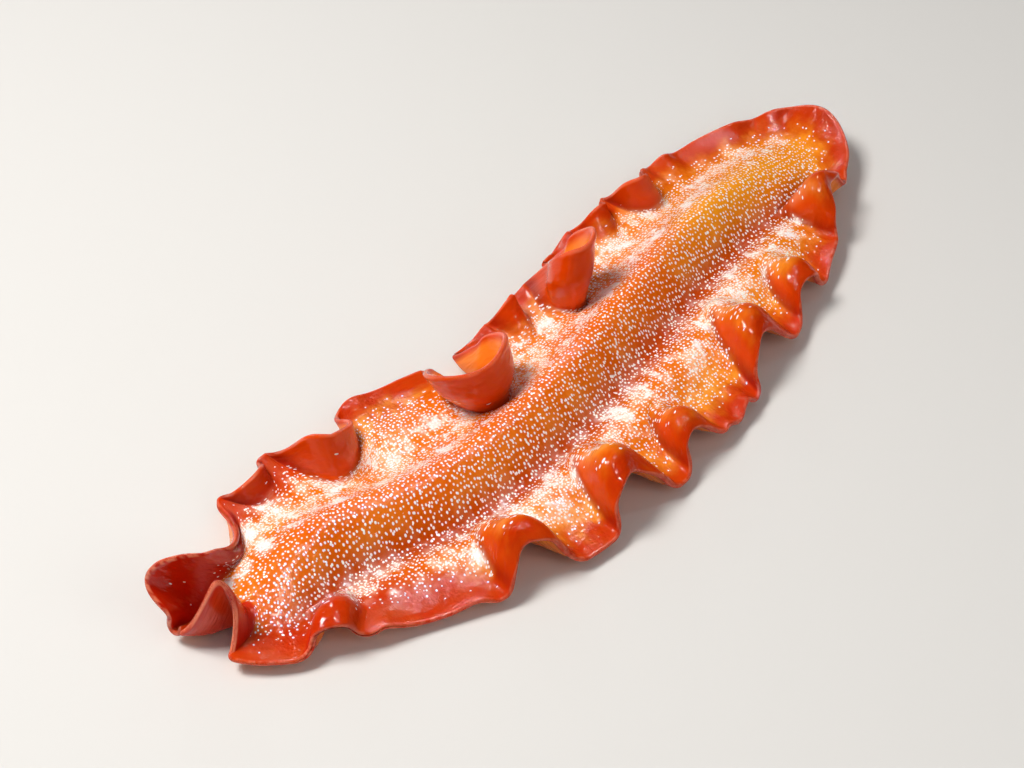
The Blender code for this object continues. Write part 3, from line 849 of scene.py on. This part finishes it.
# %% [markdown]
# ## White dots
# The back is peppered with white dots a tenth of a millimetre wide, dense over the
# ridge and the wings and thinning out to nothing before the rim. They could be painted
# one by one, but a cell pattern gives each its own spot and size. Four layers of it
# stand for all of them: the even crowd, others scattered between, a fine mist on the
# wings' crests and the ridge's far shoulder, where painted highlights also lie, and a
# few strays out on the margin.

# %% One layer of dots
DOT_WANDER = 0.65
DOT_SIZES = 0.45
DOT_EDGE = (1.15, 0.75)


def dots(per_mm, size, share, offset):
    """White dots, one to a cell: size is a share of the cell, share says how many stay."""
    flat = {"voronoi_dimensions": "2D"}
    cell = {"Vector": moved_place(offset), "Scale": per_mm, "Randomness": DOT_WANDER}
    reach = start.node("ShaderNodeTexVoronoi", flat, cell)
    lot = start.node("ShaderNodeTexVoronoi", flat, cell, 1)
    chance = start.node("ShaderNodeSeparateColor", values={0: lot})
    other = start.node("ShaderNodeSeparateColor", values={0: lot}, output=1)
    radius = size * (1 - DOT_SIZES + DOT_SIZES * other)
    return between(reach, radius * DOT_EDGE[0], radius * DOT_EDGE[1]) * (chance < share)


def most(*wires):
    """The greatest of several wires at each spot."""
    greatest = wires[0]
    for wire in wires[1:]:
        greatest = start.math("MAXIMUM", greatest, wire)
    return greatest


# %% Where the dots are
OPEN_BAND = (0.9, 3.0)
STRAY_BAND = (0.4, 1.0)
MIST_AND_HIGHLIGHT_CLOUD = (0.43, 0.62)
SHOULDER_CLOUD = (0.42, 0.6)
# mm from the ridge's middle line, the far side negative
SHOULDER_NEAR_EDGE = (-0.4, -1.0)
SHOULDER_FAR_EDGE = (-2.2, -1.3)

open_back = between(strayed(rim_mm, middling, 1.8), *OPEN_BAND) * (1 - upright) * (1 - ear_zone) * upper_face
crowd = open_back * (1 - valley * 0.5)
# where the mist of dots and the painted highlights go: the wings' crests and the ridge's far shoulder
wing_mist_and_highlight = wings * between(slow * 0.4 + middling * 0.6, *MIST_AND_HIGHLIGHT_CLOUD)
far_shoulder = between(off_ridge_mm, *SHOULDER_NEAR_EDGE) * between(off_ridge_mm, *SHOULDER_FAR_EDGE)
shoulder_mist_and_highlight = far_shoulder * between(middling, *SHOULDER_CLOUD) * 0.8
mist_and_highlight = open_back * most(wing_mist_and_highlight, shoulder_mist_and_highlight)
stray_zone = upper_face * (1 - upright) * between(rim_mm, *STRAY_BAND)
print("nodes so far:", len(flesh.node_tree.nodes))

# %% [markdown]
# The wings' crests and the far shoulder of the ridge are paler than the rest, partly
# from a mist of dense white dots and partly from painted highlights. There the mist of
# dots lies over a whitish veil of painted sheen, among small ragged patches of painted
# highlight.

# %% Dots over the colours
DOT = paint(255, 250, 244)
HIGHLIGHT_VEIL = paint(255, 240, 234)
HIGHLIGHT_PATCH_CLOUD = (0.52, 0.62)
HIGHLIGHT_PATCH_ZONE = (0.1, 0.6)

crowd_dots = dots(4.8, 0.28, crowd * 1.5, 3.0)
scattered_dots = dots(3.4, 0.2, crowd * 0.35, 11.0)
mist_dots = dots(7.0, 0.42, mist_and_highlight * 1.4, 23.0)
stray_dots = dots(1.9, 0.1, stray_zone * 0.4, 41.0)
dotted = most(crowd_dots, scattered_dots, stray_dots)
# painted sheen: a whitish veil over the same crests
colour = blend(mist_and_highlight * 0.42, colour, HIGHLIGHT_VEIL)
colour = blend(most(dotted * 0.95, mist_dots * 0.9), colour, DOT)
# painted highlight: small ragged white patches on the same crests
highlight_patches = between(strayed(cloud(0.8, 4.0, 71.0), quick, 0.5), *HIGHLIGHT_PATCH_CLOUD) * between(mist_and_highlight, *HIGHLIGHT_PATCH_ZONE)
colour = blend(highlight_patches * 0.75, colour, DOT)

# %% [markdown]
# ## Painted glow and highlight on the rim
# The very edge of the sheet is thin enough to glow and catches a fine highlight; both
# are painted as a fine pinkish line. It is a band a tenth of a millimetre wide, measured
# in from the rim, which comes and goes along it and is clearest on the ears.

# %% Rim line of painted glow and highlight
RIM_GLOW_HIGHLIGHT = paint(244, 146, 108)
RIM_BAND = (0.11, 0.04)
RIM_CLOUD = (0.35, 0.6)

# painted glow and highlight: a pale pinkish line along the very edge, stronger on the ears
rim_glow_highlight = between(rim_mm, *RIM_BAND) * between(quick, *RIM_CLOUD)
colour = blend(rim_glow_highlight * (0.28 + 0.4 * ear_zone), colour, RIM_GLOW_HIGHLIGHT)

# %% [markdown]
# ## Wet, living flesh
# Under water the skin is covered with clear slime, so its gloss is sharp, and light
# that enters the flesh comes out again a little way off. A low roughness gives the
# first and subsurface scattering the second. A clear coat over the flesh would shine in
# long smooth streaks, as the bump doesn't reach it, so there is none. Dots stand a hair
# proud, and the skin between is finely wrinkled, so both feed one bump, which breaks
# the gloss into small glints.

# %% Shader of the flesh
BUMP_HEIGHT = 0.0001
BUMP_STRENGTH = 0.6
RED_GOES_FARTHEST = (1.0, 0.3, 0.08)
GLOW_REACH = 0.0005


def dress(shader):
    """Feeds the shader what changes over the skin, and sets the rest on its sockets."""
    wrinkles = cloud(6.0, 3.0, 57.0)
    height = wrinkles * 0.5 + dotted * 0.45 + quick * 0.9 + middling * 1.2
    lifted = {"Height": height, "Strength": BUMP_STRENGTH, "Distance": BUMP_HEIGHT}
    relief = start.node("ShaderNodeBump", values=lifted)
    roughness = 0.04 + 0.08 * middling
    links = start.tree.links
    links.new(colour.socket, shader.inputs["Base Color"])
    links.new(roughness.socket, shader.inputs["Roughness"])
    links.new(relief.socket, shader.inputs["Normal"])
    shader.inputs["Subsurface Weight"].default_value = 0.25
    shader.inputs["Subsurface Radius"].default_value = RED_GOES_FARTHEST
    shader.inputs["Subsurface Scale"].default_value = GLOW_REACH
    shader.inputs["IOR"].default_value = 1.42
    shader.inputs["Specular IOR Level"].default_value = 0.35


dress(flesh.node_tree.nodes["Principled BSDF"])
skin_mesh.materials.append(flesh)
print("finish nodes:", len(flesh.node_tree.nodes))

# %% [markdown]
# ## Floor, light and camera
# A pale, matt floor carries the model, as in a museum's photograph. A plane with one
# plain finish is enough, because it has no detail to show.

# %% Pale floor
FLOOR_HALF = 0.4


def make_floor():
    mesh = bpy.data.meshes.new("floor")
    shape = bmesh.new()
    bmesh.ops.create_grid(shape, x_segments=8, y_segments=8, size=FLOOR_HALF)
    shape.to_mesh(mesh)
    shape.free()
    floor = bpy.data.objects.new("floor", mesh)
    bpy.context.scene.collection.objects.link(floor)
    matt = bpy.data.materials.new("pale_floor")
    matt.use_nodes = True
    shader = matt.node_tree.nodes["Principled BSDF"]
    shader.inputs["Base Color"].default_value = paint(214, 210, 204)
    shader.inputs["Roughness"].default_value = 0.7
    mesh.materials.append(matt)
    return floor


make_floor()

# %% [markdown]
# One broad lamp, high on the head side, gives the light and the shadows, with a weaker
# one on the other side and an even sky. These three aren't mirrored in the flesh, since
# so broad a reflection would veil its colour. Five small lamps do the opposite: they
# only give the wet skin its crisp glints.

# %% Lamps and sky
def lamp(name, place_mm, watts, width_mm, mirrored=True):
    """A square lamp that faces the animal. One that is mirrored gives it only glints."""
    light = bpy.data.lights.new(name, "AREA")
    light.energy = watts
    light.size = width_mm * MM
    item = bpy.data.objects.new(name, light)
    item.visible_glossy = mirrored
    item.visible_diffuse = not mirrored
    item.location = Vector(place_mm) * MM
    item.rotation_euler = (-item.location).to_track_quat("-Z", "Y").to_euler()
    bpy.context.scene.collection.objects.link(item)


lamp("key", (-45, -55, 130), 0.23, 45, False)
lamp("fill", (110, 20, 90), 0.03, 80, False)
lamp("glint_back", (-70, 75, 110), 0.015, 5)
lamp("glint_low", (-125, 45, 65), 0.05, 7)
lamp("glint_top", (15, 45, 140), 0.12, 8)
lamp("glint_head", (-45, -90, 112), 0.14, 10)
lamp("glint_near", (60, -30, 130), 0.14, 9)
sky = bpy.data.worlds.new("soft_sky")
sky.use_nodes = True
sky.node_tree.nodes["Background"].inputs["Color"].default_value = paint(235, 238, 242)
sky.node_tree.nodes["Background"].inputs["Strength"].default_value = 0.26
bpy.context.scene.world = sky
sky.cycles_visibility.glossy = False
print("lamps:", len(bpy.data.lights))
bpy.context.scene.view_settings.view_transform = "Standard"

# %% [markdown]
# The camera stands where the photo was taken from, at the animal's left front. Aiming
# it at a target would be simpler, but the photo's middle isn't the animal's middle, so
# its place and both angles are given. They were fitted to the outline.

# %% Camera
CAMERA_AZIMUTH = math.radians(46.65)
CAMERA_ELEVATION = math.radians(48)
CAMERA_PLACE = (47.648 + PLAN_SHIFT[0], -47.375 + PLAN_SHIFT[1], 73.592)


def make_camera():
    """Camera that looks down on the animal from its left front."""
    lens = bpy.data.cameras.new("view")
    lens.lens = 75
    lens.sensor_width = 36
    lens.clip_start = 0.001
    camera = bpy.data.objects.new("view", lens)
    level = math.cos(CAMERA_ELEVATION)
    towards_x, towards_y = math.sin(CAMERA_AZIMUTH) * level, -math.cos(CAMERA_AZIMUTH) * level
    back = Vector((towards_x, towards_y, math.sin(CAMERA_ELEVATION)))
    right = Vector((math.cos(CAMERA_AZIMUTH), math.sin(CAMERA_AZIMUTH), 0))
    turned = Matrix((right, back.cross(right), back)).transposed().to_4x4()
    turned.translation = Vector(CAMERA_PLACE) * MM
    camera.matrix_world = turned
    bpy.context.scene.collection.objects.link(camera)
    return camera


bpy.context.scene.camera = make_camera()
print("camera at, mm:", [round(value / MM, 1) for value in bpy.context.scene.camera.location])
